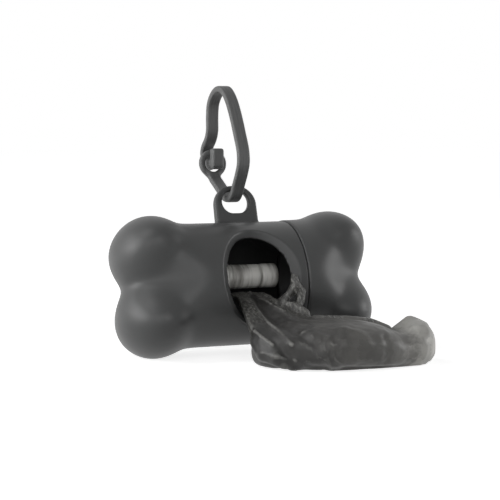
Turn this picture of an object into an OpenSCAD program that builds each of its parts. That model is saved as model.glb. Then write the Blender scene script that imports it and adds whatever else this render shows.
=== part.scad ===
// Bone-shaped dispenser for rolls of thin plastic bags, with a pull-off end,
// a strap that buttons into its own ring, and one bag pulled out on the surface.
// Frame: origin at the middle of the bone's long axis, +X towards the end that
// pulls off, -Y towards the hole that the bags come out of, +Z up.

/* [Bone barrel] */
// Outer radius of the round barrel
barrel_r = 19.5; // [18.6:0.1:21]
// Wall of the barrel and of the slanted ends
wall = 2.6; // [2.2:0.1:3]
// Distance from the middle to where the front and back start to slope in
shoulder_x = 20.4; // [19:0.1:22]
// How much further out the slope starts in line with the knuckles
shoulder_grow = 5.6; // [3:0.1:6.5]
// Height above the axis where the slope starts half of that further out
shoulder_turn = 7.0; // [5:0.1:8]
// Slope of the shoulders, in degrees from the long axis
shoulder_slope = 32; // [28:1:35]
// Distance from the middle to the floor of the notch between two knuckles
notch_x = 37.9; // [37.2:0.1:39]

/* [Bone knuckles] */
// Distance from the middle to the centre of each knuckle along the bone
knuckle_x = 30.9; // [30.5:0.1:31.7]
// Height of a knuckle's centre above or below the long axis
knuckle_z = 10.1; // [9.4:0.1:10.8]
// Knuckle radius along the bone
knuckle_rx = 11.1; // [10.4:0.1:11.8]
// Knuckle radius from front to back
knuckle_ry = 17.0; // [16:0.1:18]
// Knuckle radius up and down
knuckle_rz = 11.9; // [11.2:0.1:12.6]
// How far the two knuckles of an end spread apart at the front and back
knuckle_spread = 2.2; // [1:0.1:3]
// How tightly the knuckles blend into the barrel
blend_power = 10; // [8:1:20]
// Radius of the hollow in each knuckle
core_r = 6.6; // [5:0.1:7]

/* [Pull-off end] */
// Position of the seam between the body and the pull-off end
seam_x = 14.6; // [13.6:0.1:15.2]
// How much the pull-off end stands proud of the body all round
cap_step = 0.3; // [0.1:0.05:0.4]
// Length of the neck that the pull-off end slides over
neck_len = 5.5; // [4:0.1:6]
// Wall of the neck
neck_wall = 1.1; // [0.9:0.05:1.2]
// Radial gap between the neck and the pull-off end
neck_gap = 0.08; // [0.05:0.01:0.1]
// Width of the two ribs that keep the pull-off end from turning
key_w = 3.0; // [2:0.1:4]
// Height of those ribs above the neck
key_h = 0.6; // [0.4:0.05:0.7]
// Gap round each rib
key_gap = 0.15; // [0.1:0.05:0.2]
// Chamfer on both edges of the seam
seam_chamfer = 0.35; // [0.2:0.05:0.5]

/* [Bag hole] */
// Position of the hole's centre along the bone
hole_x = -1.2; // [-2.3:0.1:-0.8]
// Height of the hole's centre in the bone's own frame
hole_z = -0.6; // [-1:0.1:0]
// Half width of the hole at the outer edge of its bevel
hole_half_w = 12.9; // [12.3:0.1:13.6]
// Half height of the hole at the outer edge of its bevel
hole_half_h = 15.2; // [14.2:0.1:15.4]
// Width of the bevel round the hole
hole_bevel = 2.5; // [1.6:0.1:2.6]

/* [Strap lug] */
// Position of the lug along the bone
lug_x = 0.6; // [-1:0.1:2]
// Width of the lug
lug_w = 14.4; // [13.4:0.1:15]
// Thickness of the lug at its foot
lug_t_foot = 3.2; // [3:0.1:3.6]
// Thickness of the lug at its top
lug_t_top = 2.2; // [2:0.1:2.4]
// Height of the lug's top above the bone's axis
lug_top = 31.8; // [31.5:0.1:33]
// Width of the slot through the lug
slot_w = 9.2; // [8.6:0.1:9.6]
// Height of the slot through the lug
slot_h = 7.2; // [7:0.1:7.6]
// Height of the bar that is left above the slot
lug_bar = 1.8; // [1.6:0.1:2]

/* [Strap] */
// Width of the strap, along the bone
strap_w = 4.0; // [3.4:0.1:4.4]
// Thickness of the strap
strap_t = 2.0; // [1.6:0.1:2.2]
// Gap between the strap and the middle of the lug's bar
strap_drop = 2.2; // [2.1:0.1:2.6]
// Place of the strap in the slot, from the lug's centre
strap_shift = -1.0; // [-1.1:0.1:0]
// Outer radius of the ring at one end of the strap
ring_r = 4.6; // [4.3:0.1:5]
// Radius of the hole in the ring
ring_hole_r = 2.8; // [2.6:0.1:3]
// Radius of the knob's neck
knob_neck_r = 1.9; // [1.7:0.1:2.1]
// Length of the knob's head, which lies across the ring's hole
knob_head_len = 6.8; // [6.2:0.1:7.4]
// Thickness of the knob's head
knob_head_t = 3.4; // [3:0.1:3.6]
// Gap between the knob's head and the ring
knob_gap = 1.0; // [0.6:0.1:1.4]

/* [Roll] */
// Radius of the spindle
spindle_r = 2.0; // [1.8:0.05:2.2]
// Height of the spindle above the bone's axis
spindle_rise = 2.2; // [1.5:0.1:2.5]
// Radial gap between the spindle and the core
core_gap = 0.08; // [0.05:0.01:0.1]
// Wall of the core tube
core_wall = 0.6; // [0.5:0.05:0.8]
// Radius of the bags left on the roll
roll_r = 4.0; // [3.6:0.1:6]
// Length of the roll
roll_len = 40.5; // [38:0.5:43]
// How far each end of the core lies inside the roll
core_inset = 0.4; // [0.2:0.1:0.8]
// Length of the boss that the spindle is pushed into
boss_len = 2.9; // [2.5:0.1:3.5]
// Step where the loose end of the film lies on the roll
film_step = 0.25; // [0.15:0.05:0.3]

/* [Pose] */
// How far the bone is tipped back from upright, in degrees
lean = 15.5; // [14:0.5:17]
// Clearance round the pulled-out bag
bag_gap = 0.3; // [0.2:0.05:0.4]

/* [Hidden] */
eps = 0.01;
shell_grey = [0.24, 0.245, 0.245];
film_grey = [0.30, 0.30, 0.29];
roll_grey = [0.62, 0.60, 0.57];
card_brown = [0.62, 0.50, 0.38];

bore_r = barrel_r - wall;
neck_r = bore_r + neck_wall;
socket_r = neck_r + neck_gap;
neck_end_x = seam_x + neck_len;
cone_x = shoulder_x - wall * tan(shoulder_slope / 2);
cavity_end_x = 32;
cavity_end_r = bore_r - (cavity_end_x - cone_x) * tan(shoulder_slope);
pocket_end_x = knuckle_x + knuckle_rx - 2 * wall;
pocket_z = knuckle_z - 1.4;
roll_from_x = -cavity_end_x + boss_len + bag_gap;
roll_end_x = roll_from_x + roll_len;

// Outer skin of the bone. skin(p) is below 1 inside, 1 on the skin and above 1
// outside. It blends the barrel with two knuckles at each end.
function power_sum(list, n) = [for (v = list) pow(v, n)] * [for (v = list) 1];

function barrel_size(p, r) =
    let (along = abs(p[0]), out = norm([p[1], p[2]]),
         up = p[2] * p[2] / (p[2] * p[2] + shoulder_turn * shoulder_turn),
         start = shoulder_x + shoulder_grow * up,
         slope_reach = r * cos(shoulder_slope) + start * sin(shoulder_slope),
         side = out / r,
         slope = (out * cos(shoulder_slope) + along * sin(shoulder_slope)) / slope_reach,
         round_side = pow(power_sum([side, slope], 24), 1 / 24))
    pow(power_sum([round_side, along / notch_x], 12), 1 / 12);

function knuckle_size(p, side) =
    let (part = knuckle_spread * min(pow(p[1] / knuckle_ry, 2), 1.2))
    norm([(abs(p[0]) - knuckle_x) / knuckle_rx, p[1] / knuckle_ry,
          (p[2] - side * (knuckle_z + part)) / (knuckle_rz - part)]);

function skin(p, r) =
    pow(power_sum([barrel_size(p, r), knuckle_size(p, 1) + eps * eps,
                   knuckle_size(p, -1) + eps * eps], -blend_power), -1 / blend_power);

// Distance from a point inside the skin to the skin, found by halving
function reach(from, dir, r, low = 0, high = 32, steps = 22) =
    steps == 0 ? (low + high) / 2 :
    let (mid = (low + high) / 2)
    skin(from + mid * dir, r) < 1 ? reach(from, dir, r, mid, high, steps - 1)
                                  : reach(from, dir, r, low, mid, steps - 1);

// A ring of skin points round the long axis. Its rays start at [x, 0, 0] and
// open at fan degrees from the +X direction.
sides = 60;
function skin_ring(x, fan, r, inset = 0) =
    [for (i = [0 : sides - 1])
        let (turn = 360 * i / sides,
             dir = [cos(fan), sin(fan) * cos(turn), sin(fan) * sin(turn)])
        [x, 0, 0] + (reach([x, 0, 0], dir, r) - inset) * dir];

// The rings of one end, from the seam out to the notch. way is 1 or -1.
fan_rings = 11;
slope_rings = 9;
slope_start_x = 15.6;
function end_rings(way, r) =
    concat(
        [for (k = [0 : slope_rings - 1])
            skin_ring(way * (slope_start_x + (knuckle_x - slope_start_x) * k / slope_rings), 90, r)],
        [for (k = [0 : fan_rings - 1])
            skin_ring(way * knuckle_x, 90 - way * 84 * k / (fan_rings - 1), r)]);
function pole(way, r) = [way * (knuckle_x + reach([way * knuckle_x, 0, 0], [way, 0, 0], r)), 0, 0];

// A closed skin over a list of rings, with a point at each end
module loft(rings, first, last) {
    n = len(rings[0]);
    count = len(rings);
    points = concat([first], [for (ring = rings) for (p = ring) p], [last]);
    faces = concat(
        [for (i = [0 : n - 1]) [0, 1 + i, 1 + (i + 1) % n]],
        [for (k = [0 : count - 2]) for (i = [0 : n - 1])
            [1 + k * n + i, 1 + (k + 1) * n + i, 1 + k * n + (i + 1) % n]],
        [for (k = [0 : count - 2]) for (i = [0 : n - 1])
            [1 + k * n + (i + 1) % n, 1 + (k + 1) * n + i, 1 + (k + 1) * n + (i + 1) % n]],
        [for (i = [0 : n - 1])
            [count * n + 1, 1 + (count - 1) * n + (i + 1) % n, 1 + (count - 1) * n + i]]);
    polyhedron(points, faces);
}

module along_x(x) {
    translate([x, 0, 0]) rotate([0, 90, 0]) children();
}

// The pockets that core out the two knuckles of one end
module knuckle_pockets() {
    for (side = [-1, 1])
        translate([cone_x - 3, 0, side * pocket_z])
            rotate([0, 90, 0])
                rotate_extrude($fn = 64)
                    intersection() {
                        union() {
                            square([core_r, pocket_end_x - core_r - cone_x + 3]);
                            translate([0, pocket_end_x - core_r - cone_x + 3]) circle(r = core_r, $fn = 64);
                        }
                        square([2 * core_r, 2 * notch_x]);
                    }
}

// The round hollow under the slopes, from a mouth of radius mouth_r at mouth_x.
// The mouth narrows to the bore at mouth_end_x.
module round_hollow(mouth_x, mouth_r, mouth_end_x) {
    rotate([0, 90, 0])
        rotate_extrude($fn = 120)
            polygon([[0, mouth_x], [mouth_r, mouth_x], [mouth_r, mouth_end_x], [bore_r, mouth_end_x],
                     [bore_r, max(cone_x, mouth_end_x + eps)], [cavity_end_r, cavity_end_x],
                     [0, cavity_end_x]]);
}

// The hole's cutter: an oval that widens from the inside of the wall outwards,
// with its edge lying on the round barrel
module bag_hole() {
    ring_n = 64;
    radii = [bore_r - 2.4, barrel_r - wall / 2, barrel_r + 1.5];
    grow = [for (r = radii) hole_bevel * (r - barrel_r) / wall];
    rings = [for (k = [0 : 2]) [for (i = [0 : ring_n - 1])
        let (turn = 360 * i / ring_n,
             x = hole_x + (hole_half_w + grow[k]) * cos(turn),
             z = hole_z + (hole_half_h + grow[k]) * sin(turn))
        [x, -sqrt(radii[k] * radii[k] - z * z), z]]];
    loft(rings, [hole_x, -radii[0] + 4, hole_z], [hole_x, -2 * barrel_r, hole_z]);
}

module lug() {
    corner_r = lug_w / 2 - 0.9;
    side_top = lug_top - corner_r;
    slot_r = slot_h / 2;
    slot_mid = lug_top - lug_bar - slot_r;
    foot = barrel_r - 1.2;
    translate([lug_x, 0, 0])
        difference() {
            intersection() {
                rotate([90, 0, 0])
                    linear_extrude(lug_t_foot + 2, center = true)
                        union() {
                            translate([-lug_w / 2, foot]) square([lug_w, side_top - foot]);
                            translate([corner_r - lug_w / 2, foot])
                                square([lug_w - 2 * corner_r, lug_top - foot]);
                            for (side = [-1, 1])
                                translate([side * (lug_w / 2 - corner_r), side_top])
                                    circle(r = corner_r, $fn = 96);
                        }
                rotate([90, 0, 90])
                    linear_extrude(lug_w + 2, center = true)
                        polygon([[-lug_t_foot / 2, foot - 1], [lug_t_foot / 2, foot - 1],
                                 [lug_t_top / 2, lug_top + 1], [-lug_t_top / 2, lug_top + 1]]);
            }
            rotate([90, 0, 0])
                linear_extrude(lug_t_foot + 3, center = true)
                    union() {
                        for (side = [-1, 1])
                            translate([side * (slot_w / 2 - slot_r), slot_mid])
                                circle(r = slot_r, $fn = 72);
                        translate([slot_r - slot_w / 2, slot_mid - slot_r])
                            square([slot_w - 2 * slot_r, slot_h]);
                    }
        }
}

module neck_keys(gap) {
    for (side = [-1, 1])
        translate([seam_x - 1, -key_w / 2 - gap, side * neck_r - key_h - gap])
            cube([neck_len + 1 + gap, key_w + 2 * gap, 2 * (key_h + gap)]);
}

boss_x = -cavity_end_x;
boss_r = spindle_r + 1.8;
module spindle_boss() {
    translate([0, 0, spindle_rise]) along_x(boss_x - 1) cylinder(r = boss_r, h = boss_len + 1, $fn = 64);
}

module body_shell() {
    rings = concat(
        [skin_ring(seam_x, 90, barrel_r, seam_chamfer), skin_ring(seam_x - seam_chamfer, 90, barrel_r),
         skin_ring(0, 90, barrel_r)],
        end_rings(-1, barrel_r));
    color(shell_grey)
        rotate([-lean, 0, 0])
            difference() {
                union() {
                    difference() {
                        union() {
                            mirror([1, 0, 0])
                                loft([for (ring = rings) [for (p = ring) [-p[0], p[1], p[2]]]],
                                     [-seam_x, 0, 0], -pole(-1, barrel_r));
                            along_x(seam_x - 2) cylinder(r = neck_r, h = neck_len + 2, $fn = 120);
                            neck_keys(0);
                        }
                        mirror([1, 0, 0]) round_hollow(-neck_end_x - 1, bore_r, cone_x - 1);
                        mirror([1, 0, 0]) knuckle_pockets();
                        bag_hole();
                    }
                    lug();
                    spindle_boss();
                }
                translate([0, 0, spindle_rise])
                    along_x(boss_x + 0.5)
                        cylinder(r = spindle_r + core_gap / 2, h = boss_len + 1, $fn = 48);
            }
}

module end_cap() {
    r = barrel_r + cap_step;
    rings = concat(
        [skin_ring(seam_x + 0.05, 90, r, seam_chamfer), skin_ring(seam_x + 0.05 + seam_chamfer, 90, r)],
        end_rings(1, r));
    color(shell_grey)
        rotate([-lean, 0, 0])
            difference() {
                loft(rings, [seam_x + 0.05, 0, 0], pole(1, r));
                round_hollow(0, socket_r, neck_end_x + 0.3);
                knuckle_pockets();
                neck_keys(key_gap);
            }
}

// The pin that carries the roll, pushed into a boss on the fixed end
module roll_spindle() {
    color(shell_grey)
        rotate([-lean, 0, 0])
            translate([0, 0, spindle_rise]) {
                along_x(boss_x + 0.5)
                    cylinder(r = spindle_r, h = roll_end_x - 1.2 - boss_x - 0.5, $fn = 48);
                along_x(roll_end_x - 1.2 - eps)
                    cylinder(r1 = spindle_r, r2 = spindle_r - 0.6, h = 0.6, $fn = 48);
            }
}

core_r_in = spindle_r + core_gap;
core_r_out = core_r_in + core_wall;
module roll_core() {
    color(card_brown)
        rotate([-lean, 0, 0])
            translate([0, 0, spindle_rise])
                along_x(roll_from_x + core_inset)
                    difference() {
                        cylinder(r = core_r_out, h = roll_len - 2 * core_inset, $fn = 48);
                        translate([0, 0, -1]) cylinder(r = core_r_in, h = roll_len + 2, $fn = 48);
                    }
}

// The bags left on the core, wound as a spiral that ends in a small step
module bag_roll() {
    turns = 72;
    outline = [for (i = [0 : turns])
        let (a = 360 * i / turns, r = roll_r - film_step * i / turns) [r * cos(a), r * sin(a)]];
    color(roll_grey)
        rotate([-lean, 0, 0])
            translate([0, 0, spindle_rise])
                along_x(roll_from_x)
                    difference() {
                        linear_extrude(roll_len) polygon(outline);
                        translate([0, 0, -1]) cylinder(r = core_r_out + 0.02, h = roll_len + 2, $fn = 48);
                    }
}

// The bag that has been pulled out. It is a thin film, so its solid is the space
// that the crumpled film fills: a fall from the roll over the hole's lower edge,
// a heap on the surface that runs off to the right, and the largest pleats.
floor_z = -(knuckle_z * cos(lean)
            + sqrt(pow(knuckle_ry * sin(lean), 2) + pow(knuckle_rz * cos(lean), 2)));

// Each station of the fall is its middle [x, y, z], half width and half thickness
fall = [
    [-0.5, -1.5, -3.0, 5.2, 0.7],
    [-0.2, -9.5, -3.6, 6.0, 1.0],
    [-0.6, -16.5, -5.2, 6.3, 1.5],
    [1.2, -22.8, -7.4, 9.0, 2.2],
    [2.6, -29.0, -11.2, 11.8, 4.0],
    [4.0, -35.0, -14.5, 13.0, 5.0],
    [5.0, -42.0, -17.0, 12.0, 4.0]];
// The same for the heap, with its half width from front to back
heap = [
    [-9.5, -30.5, -18.0, 4.0, 3.0],
    [-6.5, -33.5, -17.0, 8.0, 5.6],
    [0.0, -36.5, -16.0, 12.0, 7.4],
    [8.0, -39.0, -15.7, 15.0, 7.9],
    [17.0, -39.5, -15.4, 15.5, 8.1],
    [25.0, -40.5, -16.0, 14.0, 7.5],
    [30.5, -41.5, -17.2, 11.5, 6.2],
    [33.0, -42.0, -17.9, 9.0, 5.4],
    [36.5, -42.0, -17.0, 9.5, 6.8],
    [40.0, -41.5, -15.8, 9.5, 7.7],
    [43.5, -40.5, -16.2, 7.5, 7.0],
    [46.0, -39.0, -17.6, 4.5, 4.8]];
bag_sides = 20;
// The pleats that stand out of them, as [x, y, z, radius] along each
pleats = [
    [[-2.9, -4.5, -3.4, 0.9], [-5.0, -13.0, -4.9, 1.3], [-6.4, -22.0, -7.8, 1.8],
     [-7.4, -29.0, -11.2, 2.3], [-7.6, -35.0, -14.4, 2.4], [-6.8, -41.0, -17.4, 2.2]],
    [[-0.2, -7.0, -3.8, 0.9], [0.8, -14.0, -4.9, 1.2], [2.4, -20.5, -6.6, 1.6],
     [4.3, -28.0, -9.0, 2.3], [5.8, -36.0, -11.4, 2.7], [8.0, -43.0, -14.4, 2.8]],
    [[4.0, -6.0, -3.6, 0.9], [4.2, -12.0, -4.0, 1.0], [3.8, -18.0, -5.2, 1.2], [4.8, -23.0, -6.6, 1.5]],
    [[4.4, -18.4, -4.6, 1.1], [7.0, -21.0, -1.8, 1.3], [8.8, -21.6, 1.2, 1.5], [8.2, -21.4, 3.4, 1.1]],
    [[8.8, -21.8, 0.6, 1.2], [10.6, -22.0, -1.0, 1.4], [9.8, -23.0, -3.8, 1.3]],
    [[5.4, -21.0, -4.8, 1.0], [7.6, -23.2, -5.4, 1.5], [10.2, -25.8, -7.0, 1.4]],
    [[11.0, -31.5, -9.0, 2.0], [19.0, -34.5, -9.4, 2.2], [26.5, -37.0, -10.2, 2.0],
     [31.0, -39.5, -11.8, 1.5]],
    [[13.0, -48.0, -12.8, 2.6], [22.0, -50.0, -14.6, 2.8], [29.0, -49.5, -16.6, 2.0]],
    [[-9.2, -31.5, -14.5, 1.5], [-8.8, -35.5, -17.4, 1.8], [-5.0, -42.0, -19.4, 2.0]],
    [[35.0, -38.5, -12.8, 1.8], [40.0, -38.0, -10.4, 2.2], [44.0, -39.0, -12.0, 2.0]]];
pleat_sides = 8;

function oval(turn, half_a, half_b) =
    let (c = cos(turn), s = sin(turn))
    [half_a * sign(c) * pow(abs(c), 0.8), half_b * sign(s) * pow(abs(s), 0.8)];

function path_slope(list, k) =
    let (a = list[max(k - 1, 0)], b = list[min(k + 1, len(list) - 1)])
    atan2(b[2] - a[2], -(b[1] - a[1]));

function fall_ring(k) =
    let (s = fall[k], tip = path_slope(fall, k))
    [for (i = [0 : bag_sides - 1])
        let (q = oval(360 * i / bag_sides, s[3], s[4]))
        [s[0] + q[0], s[1] + q[1] * sin(tip), s[2] + q[1] * cos(tip)]];

function heap_ring(k) =
    let (s = heap[k])
    [for (i = [0 : bag_sides - 1])
        let (q = oval(360 * i / bag_sides, s[3], s[4]))
        [s[0], s[1] + q[0], s[2] + q[1]]];

function middle(station) = [station[0], station[1], station[2]];

// A tube along a pleat, one ring for each of its points
function pleat_ring(pleat, k) =
    let (a = middle(pleat[max(k - 1, 0)]), b = middle(pleat[min(k + 1, len(pleat) - 1)]),
         way = (b - a) / norm(b - a), side = cross(way, [0, 0, 1]) / norm(cross(way, [0, 0, 1])),
         up = cross(way, side))
    [for (i = [0 : pleat_sides - 1])
        let (turn = 360 * i / pleat_sides)
        middle(pleat[k]) + pleat[k][3] * (cos(turn) * side + sin(turn) * up)];

module pleat_tube(pleat) {
    last = len(pleat) - 1;
    lead = middle(pleat[0]) - middle(pleat[1]);
    trail = middle(pleat[last]) - middle(pleat[last - 1]);
    loft([for (k = [0 : last]) pleat_ring(pleat, k)],
         middle(pleat[0]) + lead * pleat[0][3] / norm(lead) / 2,
         middle(pleat[last]) + trail * pleat[last][3] / norm(trail) / 2);
}

module pulled_bag() {
    color(film_grey)
        intersection() {
            union() {
                loft([for (k = [0 : len(fall) - 1]) fall_ring(k)],
                     middle(fall[0]), middle(fall[len(fall) - 1]));
                loft([for (k = [0 : len(heap) - 1]) heap_ring(k)],
                     middle(heap[0]), middle(heap[len(heap) - 1]));
                for (pleat = pleats) pleat_tube(pleat);
            }
            translate([-50, -100, floor_z]) cube([150, 100, 40]);
        }
}

// The strap. Its centre line lies in the plane across the bone and is written
// from the middle of the lug's bar as [y, z], with the bone tipped as it stands.
bar_z = lug_top - lug_bar / 2;
bar_at = [lug_x + strap_shift, bar_z * sin(lean), bar_z * cos(lean)];
drop = strap_drop + strap_t / 2;
strap_line = [
    [14.4, 4.8], [12.6, 2.9], [10.0, 1.4], [5.8, -0.9], [2.6, -2.6], [0, -drop], [-2.8, -3.0],
    [-4.9, -1.5], [-6.8, 1.5], [-9.0, 4.9], [-10.5, 8.0], [-10.6, 10.8], [-9.8, 13.6],
    [-7.7, 17.5], [-5.4, 21.8], [-2.2, 26.7], [1.0, 30.0], [4.4, 31.8], [8.2, 31.7],
    [11.6, 30.0], [14.2, 27.0], [14.9, 22.6], [14.9, 18.6], [16.4, 15.6], [19.0, 13.2],
    [20.0, 10.8], [18.8, 8.8]];

// A smooth curve through a list of points
function spline_point(list, k, t) =
    let (a = list[max(k - 1, 0)], b = list[k], c = list[k + 1], d = list[min(k + 2, len(list) - 1)])
    0.5 * (2 * b + (c - a) * t + (2 * a - 5 * b + 4 * c - d) * t * t
           + (3 * b - a - 3 * c + d) * t * t * t);
function spline(list, steps) =
    concat([for (k = [0 : len(list) - 2]) for (s = [0 : steps - 1]) spline_point(list, k, s / steps)],
           [list[len(list) - 1]]);
function side_step(line, k, out) =
    let (a = line[max(k - 1, 0)], b = line[min(k + 1, len(line) - 1)], d = (b - a) / norm(b - a))
    line[k] + out * [-d[1], d[0]];

ring_at = [14.6, 7.8];
ring_tilt = 10;
module strap_band() {
    line = spline(strap_line, 5);
    outline = concat([for (k = [0 : len(line) - 1]) side_step(line, k, strap_t / 2)],
                     [for (k = [len(line) - 1 : -1 : 0]) side_step(line, k, -strap_t / 2)]);
    rotate([90, 0, 90])
        linear_extrude(strap_w, center = true)
            polygon(outline);
}

// Places what is drawn along +Z on the ring's axis, pointing to the front
module on_ring() {
    translate([0, ring_at[0], ring_at[1]]) rotate([90 - ring_tilt, 0, 0]) children();
}

// The knob's head: a bullet as wide as the strap, round at its foot and flat on top
neck_from = -4.8;
head_at = ring_at[0] - strap_t / 2 - knob_gap - knob_head_t / 2;
head_foot = ring_at[1] - 1.8;
module knob_head() {
    r = knob_head_t / 2;
    rotate([90, 0, 90])
        linear_extrude(strap_w, center = true)
            union() {
                translate([head_at, head_foot + r]) circle(r = r, $fn = 48);
                translate([head_at - r, head_foot + r]) square([knob_head_t, knob_head_len - r]);
            }
}

module strap_clip() {
    color(shell_grey)
        translate(bar_at)
            union() {
                difference() {
                    union() {
                        strap_band();
                        on_ring() cylinder(r = ring_r, h = strap_t, center = true, $fn = 64);
                    }
                    on_ring() cylinder(r = ring_hole_r, h = strap_t + 1.6, center = true, $fn = 48);
                }
                on_ring()
                    translate([0, 0, neck_from])
                        cylinder(r = knob_neck_r, h = strap_t / 2 + knob_gap + 1 - neck_from, $fn = 48);
                knob_head();
            }
}

body_shell();
end_cap();
roll_spindle();
roll_core();
bag_roll();
pulled_bag();
strap_clip();
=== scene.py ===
# A bone-shaped holder for rolls of thin bags, leaning back on the surface where it
# was put down, with one bag pulled out of its side and its strap standing up.
# Each section below makes one piece, in the order in which they go together.
import math

import bpy
import numpy as np
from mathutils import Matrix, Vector


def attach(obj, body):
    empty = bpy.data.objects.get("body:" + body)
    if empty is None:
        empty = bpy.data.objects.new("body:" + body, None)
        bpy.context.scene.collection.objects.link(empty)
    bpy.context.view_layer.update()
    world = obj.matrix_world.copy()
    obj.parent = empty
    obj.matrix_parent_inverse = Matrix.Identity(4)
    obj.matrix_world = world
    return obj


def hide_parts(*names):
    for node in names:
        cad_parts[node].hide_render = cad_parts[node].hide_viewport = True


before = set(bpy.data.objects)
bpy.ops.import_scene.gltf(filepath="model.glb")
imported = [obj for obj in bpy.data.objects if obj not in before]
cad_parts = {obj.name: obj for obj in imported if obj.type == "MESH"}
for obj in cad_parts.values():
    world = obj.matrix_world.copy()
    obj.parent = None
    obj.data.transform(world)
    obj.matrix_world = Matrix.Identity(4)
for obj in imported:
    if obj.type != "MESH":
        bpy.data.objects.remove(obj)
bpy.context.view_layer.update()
for spare in [o for o in bpy.data.objects if o.type in {"CAMERA", "LIGHT"}]:
    bpy.data.objects.remove(spare)


# The body is one injection moulding in matte dark grey plastic: the closed left
# end with its two knuckles, the round barrel with the bevelled bag hole, the lug
# for the strap, and the thin neck that the other end slides over.

# Sizes are in mm, in the bone's own frame, in which it stands upright.
MM = 0.001
LEAN = math.radians(15.5)

# The outer skin: a barrel, whose shoulders slope in to the notch between two knuckles.
BARREL_R = 19.5
WALL = 2.6
BORE_R = BARREL_R - WALL
SHOULDER_X = 20.4
SHOULDER_GROW = 5.6
SHOULDER_TURN = 7.0
SHOULDER_SLOPE = math.radians(32)
SHOULDER_POWER = 24
NOTCH_X = 37.9
NOTCH_POWER = 12
KNUCKLE_AT = (30.9, 10.1)
KNUCKLE_R = (11.1, 17.0, 11.9)
KNUCKLE_SPREAD = 2.2
SPREAD_MOST = 1.2
BLEND_POWER = 10.0
END_SPAN = 13.0

# The hollow under the wall, and the pocket in each knuckle.
HOLLOW_END_X = 32.0
HOLLOW_EDGE = 1.0
POCKET_FROM_X = 16.0
POCKET_TO_X = 30.5
POCKET_UP = 8.7
POCKET_R = 6.6
POCKETS_BEFORE_X = -4

# The seam, and the neck beyond it with its two ribs.
SEAM_X = 14.6
SEAM_EDGE = 0.7
NECK_R = BORE_R + 1.1
NECK_ROOT_X = SEAM_X - 2
NECK_END_X = SEAM_X + 5.5
NECK_EDGE = 0.5
RIB_FROM = (SEAM_X - 1, -1.5, NECK_R - 0.8)
RIB_TO = (NECK_END_X, 1.5, NECK_R + 0.6)
RIB_EDGE = 0.25
INNER_EDGE = 0.4

# The bag hole: an oval with a bevel that follows the barrel.
HOLE_AT = (-1.2, -0.6)
HOLE_HALF = (12.9, 15.2)
HOLE_BEVEL = 2.5
HOLE_SPAN = 12.5
HOLE_RIM = 0.32
FAR_OFF = 30.0

# The lug, which gets thinner upwards, and the slot through it.
LUG_X = 0.6
LUG_W = 14.4
LUG_TOP = 31.8
LUG_HALF_FLAT = 0.9
LUG_CORNER = LUG_W / 2 - LUG_HALF_FLAT
LUG_HALF_T = 1.6
LUG_TAPER = 0.5
LUG_TAPER_FROM = 19
LUG_TAPER_SPAN = 12.8
LUG_FOOT = 17.5
LUG_ROOT_R = BORE_R + 0.6
LUG_EDGE = 0.9
LUG_FILLET = 0.8
SLOT_UP = 26.4
SLOT_R = 3.6
SLOT_HALF_FLAT = 1.0
SLOT_EDGE = 0.3

# The boss on the closed end, and the hole in it for the spindle.
ROLL_AXIS_Z = 2.2
BOSS_R = 3.8
BOSS_FROM_X = -33.0
BOSS_TO_X = -29.1
PIN_HOLE_R = 2.04
PIN_HOLE_FROM_X = -31.5


def smooth_low(a, b, r):
    """The lower of two distances, with the inner corner filled to about radius r."""
    h = np.clip(r - np.abs(a - b), 0, None) / r
    return np.minimum(a, b) - h * h * r / 4


def smooth_high(a, b, r):
    """The higher of two distances, with the outer corner rounded to about radius r."""
    return -smooth_low(-a, -b, r)


def bone_skin(x, y, z, barrel_r):
    """Distance from the outer skin of the bone, in mm, negative inside."""
    along = np.abs(x)
    out = np.sqrt(y * y + z * z) + 1e-9
    start = SHOULDER_X + SHOULDER_GROW * z * z / (z * z + SHOULDER_TURN**2)
    cos, sin = math.cos(SHOULDER_SLOPE), math.sin(SHOULDER_SLOPE)
    slope = (out * cos + along * sin) / (barrel_r * cos + start * sin)
    side = ((out / barrel_r) ** SHOULDER_POWER + slope**SHOULDER_POWER) ** (1 / SHOULDER_POWER)
    barrel = (side**NOTCH_POWER + (along / NOTCH_X) ** NOTCH_POWER) ** (1 / NOTCH_POWER)
    total = barrel**-BLEND_POWER
    for up in (1, -1):
        part = KNUCKLE_SPREAD * np.minimum((y / KNUCKLE_R[1]) ** 2, SPREAD_MOST)
        knuckle = np.sqrt(((along - KNUCKLE_AT[0]) / KNUCKLE_R[0]) ** 2 + (y / KNUCKLE_R[1]) ** 2
                          + ((z - up * (KNUCKLE_AT[1] + part)) / (KNUCKLE_R[2] - part)) ** 2)
        total = total + (knuckle + 1e-3) ** -BLEND_POWER
    size = total ** (-1 / BLEND_POWER)
    return (size - 1) * np.where(along < SHOULDER_X, barrel_r, END_SPAN)


def rounded_slab(point, low, high, r):
    """Distance from a box with rounded edges; point is three arrays."""
    gaps = [np.maximum(lo - p, p - hi) + r for p, lo, hi in zip(point, low, high)]
    outside = np.sqrt(sum(np.maximum(g, 0) ** 2 for g in gaps))
    return outside + np.minimum(np.maximum(np.maximum(gaps[0], gaps[1]), gaps[2]), 0) - r


def round_hollow(x, out):
    """Distance from the space under the wall: a bore that narrows under the slope."""
    cone_x = SHOULDER_X - WALL * math.tan(SHOULDER_SLOPE / 2)
    cos, sin = math.cos(SHOULDER_SLOPE), math.sin(SHOULDER_SLOPE)
    cone = (out - BORE_R) * cos + (np.abs(x) - cone_x) * sin
    bore = smooth_high(out - BORE_R, cone, HOLLOW_EDGE)
    return smooth_high(bore, np.abs(x) - HOLLOW_END_X, HOLLOW_EDGE)


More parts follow.
